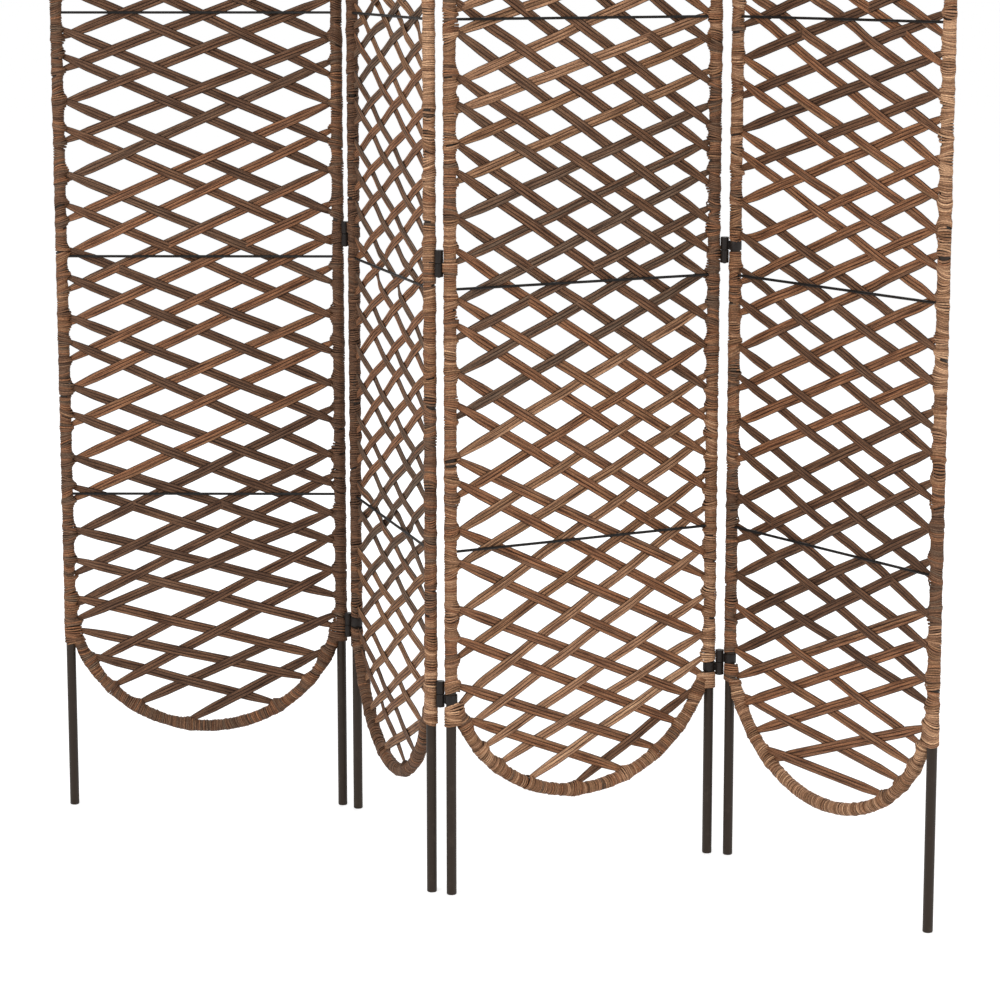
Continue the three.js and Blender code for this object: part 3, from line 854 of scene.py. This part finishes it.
def band_paths(panel, family, band, rng):
    slope = band["slope"]
    low, high = band["reach"]
    low, low_rise = clear_of_straps(panel, "left", low + UNDER_WINDING,
                                    band["start"] + slope * low)
    high, high_rise = clear_of_straps(panel, "right", high - UNDER_WINDING,
                                      band["start"] + slope * high)
    x = np.linspace(low, high, max(int((high - low) / STEP), 12))
    to_end = np.clip(np.minimum(x - low, high - x) / GATHER, 0, 1)
    bent = (low_rise * np.clip(1 - (x - low) / BEND_RUN, 0, 1) ** 2
            + high_rise * np.clip(1 - (high - x) / BEND_RUN, 0, 1) ** 2)
    depth = depth_along(x, band, crossings(panel, family, band)) * (0.4 + 0.6 * to_end)
    across = np.array([-slope, 0, 1]) / math.hypot(1, slope)
    tone = DYES[band["dye"]][1] + rng.normal(0, BAND_TONE)
    paths = []
    for k in (-1, 0, 1):
        spread = GATHERED + (1 - GATHERED) * to_end ** 0.7
        offset = k * STRAND_PITCH * spread + wander(rng, len(x), STRAY_ACROSS)
        lift = (depth + wander(rng, len(x), STRAY_DEEP)
                + k * rng.uniform(-BAND_TILT, BAND_TILT))
        points = np.c_[x, lift, band["start"] + slope * x + bent] + offset[:, None] * across
        sizes = 0.80 + 0.20 * to_end + wander(rng, len(x), STRAY_SIZE)
        paths.append((points, sizes, np.full(len(x), tone + rng.normal(0, STRAND_TONE))))
    return paths


for panel in PANELS:
    for family in ("falling", "rising"):
        rng = np.random.default_rng(10 * panel + (family == "rising"))
        paths = [p for band in BANDS[panel][family] for p in band_paths(panel, family, band, rng)]
        piece = strands(f"{family} bands", band_section, paths)
        finish_wicker(piece, f"panel_{panel}_{family}_bands", panel)
        print(piece.name, len(paths), "strands", len(piece.data.polygons), "faces")

# %% [markdown]
# ## The winding
#
# A fine strand is wound closely round the legs and the arcs, as one long helix. What makes it look
# real is what disturbs it: no two turns lie equally high, they lean one way and then the other,
# and where a band comes in they bulge and are pulled out along it, like a web. It has dye lots of
# its own, and takes on a little of the dye of each band whose strands end in it.

# %% Winding a leg
TURN_STEPS = 12  # points to a turn
LEG_WIND_R = 7.4  # of a wound strand's middle
ARC_WIND_R = 7.6
WIND_PITCH = 2.5
PITCH_RANGE = 0.82, 1.18  # the least and the most that a turn takes of it
LEG_RAGGED = 0.20  # how far the turns differ in radius
ARC_RAGGED = 0.34
LEG_LEAN, ARC_LEAN = 0.60, 0.30  # a turn's greatest slope; a steeper one on an arc would gape
LEAN_TURNS = 1.6  # radians that the direction of the lean wanders
TURN_TONE = 0.14  # how much the turns differ in dye
OWN_DYE, END_DYE, LOT_TONE = 0.78, 0.22, 0.14  # shares of the dyes, and how far they stray
JOINT_BULGE = 12.0  # the winding goes round tube and arc together where they meet,
JOINT_SWELL = 0.7  # a little wider all round,
JOINT_RUN = 44.0  # and comes back to the tube over this height
STRAP_SWELL = 1.6  # what a strap under the winding adds to its radius,
STRAP_COVER = 1.6  # reaching this far past its edge,
STRAP_EASE = 1.2  # with a slope this long
STRAP_BARE = 1.7  # tube that shows beyond a bare strap's edge
SLIT_CHANCE, SLIT_BELOW, SLIT_HALF = 0.3, 6.5, (0.2, 0.5)  # a slit below a band's end
# The least and the most swell, pull and width of the winding where a band ends in it.
LEG_ENDS = ((0.4, 1.0), (3.0, 5.5), (3.5, 6.0))
ARC_ENDS = ((0.7, 1.5), (2.0, 4.0), (5, 8))
WIND_FLAT = 8.1  # the turns are pressed flat here, so that the panels fold onto each other
LEG_GROOVE_SHADE, ARC_GROOVE_SHADE = 0.86, 0.92  # how strong the painted shade between the turns is
ARC_HALF_ANGLE = math.asin((LEG_SPACING / 2 - TUBE_D / 2 - ARC_ROD_D / 2 - TUBE_GAP)
                           / ARC_RADIUS)
ARC_END_RISE = ARC_RADIUS * (1 - math.cos(ARC_HALF_ANGLE))
PAST_ARC = 8  # how far the winding goes on past the arc's end
WRAP_LOW = arc_low + ARC_END_RISE - PAST_ARC
WRAP_HIGH = arc_high - ARC_END_RISE + PAST_ARC
# How much further down the tube the winding goes on some legs, or less far.
FURTHER_DOWN = {(1, "right"): -4, (2, "right"): 12, (3, "left"): 12, (3, "right"): 6,
                (4, "right"): -3}
# Dye lots of the winding, from the floor up.
WOUND_LOTS = {
    (1, "left"): [(0, "copper"), (370, "weathered"), (660, "copper"), (820, "weathered"),
                  (1400, "brown")],
    (1, "right"): [(0, "dark"), (820, "weathered"), (1250, "copper")],
    (2, "left"): [(0, "brown"), (380, "dark"), (1150, "brown")],
    (2, "right"): [(0, "tan"), (370, "weathered"), (660, "straw"), (820, "tan"),
                   (970, "natural"), (1300, "tan")],
    (3, "left"): [(0, "straw"), (1200, "tan")],
    (3, "right"): [(0, "tan"), (520, "straw"), (670, "weathered"), (980, "copper")],
    (4, "left"): [(0, "copper"), (370, "weathered"), (520, "copper"), (670, "straw"),
                  (820, "tan"), (1350, "straw")],
    (4, "right"): [(0, "tan"), (380, "weathered"), (520, "tan"), (670, "natural"),
                   (1400, "tan")],
    (1, "arcs"): [(-500, "copper")], (2, "arcs"): [(-500, "brown")],
    (3, "arcs"): [(-500, "straw")], (4, "arcs"): [(-500, "tan")],
}


def winding(low, high, turn, ends, gaps, tones, rng, inward=1, joints=(), straps=()):
    """Runs of a helix up the Z axis from low to high.

    A turn is (radius, how ragged, how far it leans), an end (z, swell, pull, width, slope).
    """
    radius, ragged, most_lean = turn
    turns = int((high - low) / WIND_PITCH)
    pitches = rng.uniform(*PITCH_RANGE, turns)
    heights = low + (high - low) * np.cumsum(np.r_[0, pitches]) / pitches.sum()
    t = np.arange(turns * TURN_STEPS + 1) / TURN_STEPS
    z = np.interp(t, np.arange(turns + 1), heights)
    angle = 2 * math.pi * t
    swell, pull, climb = np.zeros((3, len(t)))
    for at, size, reach, width, slope in ends:
        near = np.exp(-((z - at) / width) ** 2)
        swell += size * near
        pull += reach * near
        climb += slope * reach * near
    for at, upward in joints:
        near = np.clip(1 - upward * (z - at) / JOINT_RUN, 0, 1.3)
        pull += JOINT_BULGE * near
        swell += JOINT_SWELL * near
    for at in straps:
        inside = STRAP_HEIGHT / 2 + STRAP_COVER - abs(z - at)
        swell += STRAP_SWELL * np.clip(inside / STRAP_EASE, 0, 1)
    each_turn = np.interp(t, np.arange(turns + 2), rng.normal(0, ragged, turns + 2))
    r = radius + each_turn + wander(rng, len(t), ragged, 9) + swell
    lean = wander(rng, len(t), most_lean, 5 * TURN_STEPS)
    lean_to = wander(rng, len(t), LEAN_TURNS, 9 * TURN_STEPS)
    facing = (0.5 + 0.5 * np.cos(angle)) ** 3
    points = np.c_[inward * (r * np.cos(angle) + pull * facing),
                   np.clip(r * np.sin(angle), -WIND_FLAT, WIND_FLAT),
                   z + lean * r * np.cos(angle - lean_to) + climb * facing]
    each_tone = np.repeat(rng.normal(0, TURN_TONE, turns + 1), TURN_STEPS)[:len(t)]
    tone = np.interp(z, *tones) + each_tone
    bare = (points[:, 2] < low - 1) | (points[:, 2] > high + 1)
    for at, half in gaps:
        bare |= abs(z - at) < half
    edges = np.flatnonzero(np.diff(np.r_[True, bare, True].astype(int)))
    runs = [slice(a, b) for a, b in zip(edges[::2], edges[1::2]) if b - a > TURN_STEPS]
    return [(points[s], np.full(s.stop - s.start, 1.0), tone[s]) for s in runs]


def ends_at(panel, side):
    """[(height, slope towards the weave, dye)] of the bands that reach a leg."""
    x, inward = (0, 1) if side == "left" else (LEG_SPACING, -1)
    found = []
    for family in ("falling", "rising"):
        for band in BANDS[panel][family]:
            if min(abs(band["reach"][0] - x), abs(band["reach"][1] - x)) < TUBE_D:
                found.append((band["start"] + band["slope"] * x, band["slope"] * inward,
                              band["dye"]))
    return sorted(found)


def wound_tones(ends, low, high, lots, rng):
    """Heights and tones: the winding changes dye where band ends are wound in."""
    heights, tones = [low], [DYES[lots[0][1]][1]]
    for z, _, dye in ends:
        tone = (OWN_DYE * DYES[lot_at(lots, z)][1] + END_DYE * DYES[dye][1]
                + rng.uniform(-LOT_TONE, LOT_TONE))
        heights += [z - 7, z - 6]
        tones += [tones[-1], tone]
    return heights + [high], tones + [tones[-1]]


for panel in PANELS:
    for side, inward in (("left", 1), ("right", -1)):
        rng = np.random.default_rng(100 * panel + (side == "right"))
        coming = ends_at(panel, side)
        straps = strap_heights(panel, side)
        bare = bare_straps(panel, side)
        ends = [(z, *(rng.uniform(*limits) for limits in LEG_ENDS), slope)
                for z, slope, _ in coming if all(abs(z - s) > STRAP_HEIGHT for s in straps)]
        gaps = [(s, STRAP_HEIGHT / 2 + STRAP_BARE) for s in bare]
        gaps += [(z - SLIT_BELOW, rng.uniform(*SLIT_HALF)) for z, _, _ in coming
                 if rng.random() < SLIT_CHANCE]
        low = WRAP_LOW - FURTHER_DOWN.get((panel, side), 0)
        tones = wound_tones(coming, low, WRAP_HIGH, WOUND_LOTS[panel, side], rng)
        paths = winding(low, WRAP_HIGH - 1, (LEG_WIND_R, LEG_RAGGED, LEG_LEAN), ends, gaps,
                        tones, rng, inward, ((WRAP_LOW + 5, 1), (WRAP_HIGH - 5, -1)),
                        [s for s in straps if s not in bare])
        piece = strands("winding", wound_section, paths, LEG_GROOVE_SHADE)
        piece.location.x = 0 if side == "left" else LEG_SPACING * MM
        finish_wicker(piece, f"panel_{panel}_{side}_winding", panel)
        print(piece.name, len(paths), "runs", len(piece.data.polygons), "faces")

# %% [markdown]
# ## Winding an arc
#
# A winding is easiest to make on a straight rod. So each arc's is wound upright, laid down along
# X, and bent by the Simple Deform modifier, whose Bend keeps the length of the middle line. Its
# angle is the length divided by the arc's radius.

# %% Winding the arcs
ARC_LENGTH = 2 * ARC_HALF_ANGLE * ARC_RADIUS


def ends_on_arc(panel, centre_z, side):
    """Where bands end on an arc, as a length from its middle, left negative, and their dye."""
    found = []
    for family in ("falling", "rising"):
        for band in BANDS[panel][family]:
            for x in band["reach"]:
                z = band["start"] + band["slope"] * x
                if TUBE_D < x < LEG_SPACING - TUBE_D and side * (z - centre_z) > 0:
                    angle = math.atan2(x - LEG_SPACING / 2, side * (z - centre_z))
                    found.append((angle * ARC_RADIUS, 0.0, band["dye"]))
    return sorted(found)


def wound_arc(panel, arc, centre_z, side):
    rng = np.random.default_rng(1000 * panel + (side > 0))
    coming = ends_on_arc(panel, centre_z, side)
    ends = [(s, *(rng.uniform(*limits) for limits in ARC_ENDS), 0.0) for s, _, _ in coming]
    half = ARC_LENGTH / 2
    tones = wound_tones(coming, -half, half, WOUND_LOTS[panel, "arcs"], rng)
    paths = winding(-half, half, (ARC_WIND_R, ARC_RAGGED, ARC_LEAN), ends, [], tones, rng)
    piece = strands("arc winding", wound_section, paths, ARC_GROOVE_SHADE)
    # Laid down along X, with the side that the turns are pulled out to facing the arc's centre.
    piece.rotation_euler = (0, math.pi / 2, 0)
    apply_place(piece)
    piece.rotation_euler = (math.pi / 2, 0, 0)
    apply_place(piece)
    only(piece)
    bend = piece.modifiers.new("bend", "SIMPLE_DEFORM")
    bend.deform_method = "BEND"
    bend.deform_axis = "Z"
    bend.angle = ARC_LENGTH / ARC_RADIUS
    bpy.ops.object.modifier_apply(modifier=bend.name)
    piece.rotation_euler = (-side * math.pi / 2, 0, 0)
    piece.location = (LEG_SPACING / 2 * MM, 0, (centre_z + side * ARC_RADIUS) * MM)
    return finish_wicker(piece, f"panel_{panel}_{arc}_winding", panel)


for panel in PANELS:
    for arc, centre_z, side in (("bottom", CENTRE_LOW, -1), ("top", CENTRE_HIGH, 1)):
        piece = wound_arc(panel, arc, centre_z, side)
        heights = [v.co.z / MM for v in piece.data.vertices]
        print(piece.name, "z", round(min(heights)), "to", round(max(heights)), "mm")

for helper in (band_section, wound_section):
    bpy.data.objects.remove(helper)

# %% [markdown]
# ## The studio
#
# A white sweep with even, soft light, as for a catalogue picture. The floor is plain pale paint.
# It glows a little towards the camera and towards mirrors, so that it reads as white, and it
# still takes the screen's shadow. The lamps are large and near enough to model the round strands.

# %% Floor, light and background
FLOOR_GLOW = 0.5
SKY_ON_SCREEN = 0.62  # the camera itself sees the sky at 1


def pale_floor():
    material, shader = new_material("pale studio floor")
    shader.inputs["Base Color"].default_value = linear("e6e6e6")
    shader.inputs["Roughness"].default_value = 0.9
    path = add(material, "ShaderNodeLightPath")
    seen = add(material, "ShaderNodeMath",
               {0: path.outputs["Is Camera Ray"], 1: path.outputs["Is Glossy Ray"]},
               operation="MAXIMUM")
    glow = add(material, "ShaderNodeMath", {0: seen.outputs[0]}, operation="MULTIPLY")
    glow.inputs[1].default_value = FLOOR_GLOW
    shader.inputs["Emission Color"].default_value = (1, 1, 1, 1)
    plug(material, glow.outputs[0], shader, "Emission Strength")
    return material


bpy.ops.mesh.primitive_circle_add(vertices=96, radius=60, fill_type="NGON", location=(0, 0, 0))
floor = bpy.context.object
floor.name = "floor"
floor.data.materials.append(pale_floor())

world = bpy.data.worlds.new("studio")
bpy.context.scene.world = world
world.use_nodes = True
sky = world.node_tree.nodes["Background"]
path = world.node_tree.nodes.new("ShaderNodeLightPath")
strength = world.node_tree.nodes.new("ShaderNodeMapRange")
strength.inputs["To Min"].default_value = SKY_ON_SCREEN
strength.inputs["To Max"].default_value = 1.0
world.node_tree.links.new(path.outputs["Is Camera Ray"], strength.inputs["Value"])
world.node_tree.links.new(strength.outputs[0], sky.inputs["Strength"])
sky.inputs["Color"].default_value = (1, 1, 1, 1)


def softbox(name, place, aim, size, watts):
    data = bpy.data.lights.new(name, "AREA")
    data.shape = "SQUARE"
    data.size = size
    data.energy = watts
    lamp = bpy.data.objects.new(name, data)
    lamp.location = place
    lamp.rotation_euler = (Vector(aim) - Vector(place)).to_track_quat("-Z", "Y").to_euler()
    bpy.context.scene.collection.objects.link(lamp)


softbox("key softbox", (-2.6, -3.4, 3.2), (0, 0, 0.8), 2.2, 95)
softbox("fill softbox", (3.2, -3.0, 2.0), (0, 0, 0.8), 2.4, 50)
softbox("back softbox", (0.4, 3.2, 3.0), (0, 0, 0.9), 2.4, 40)
bpy.context.scene.view_settings.view_transform = "Standard"
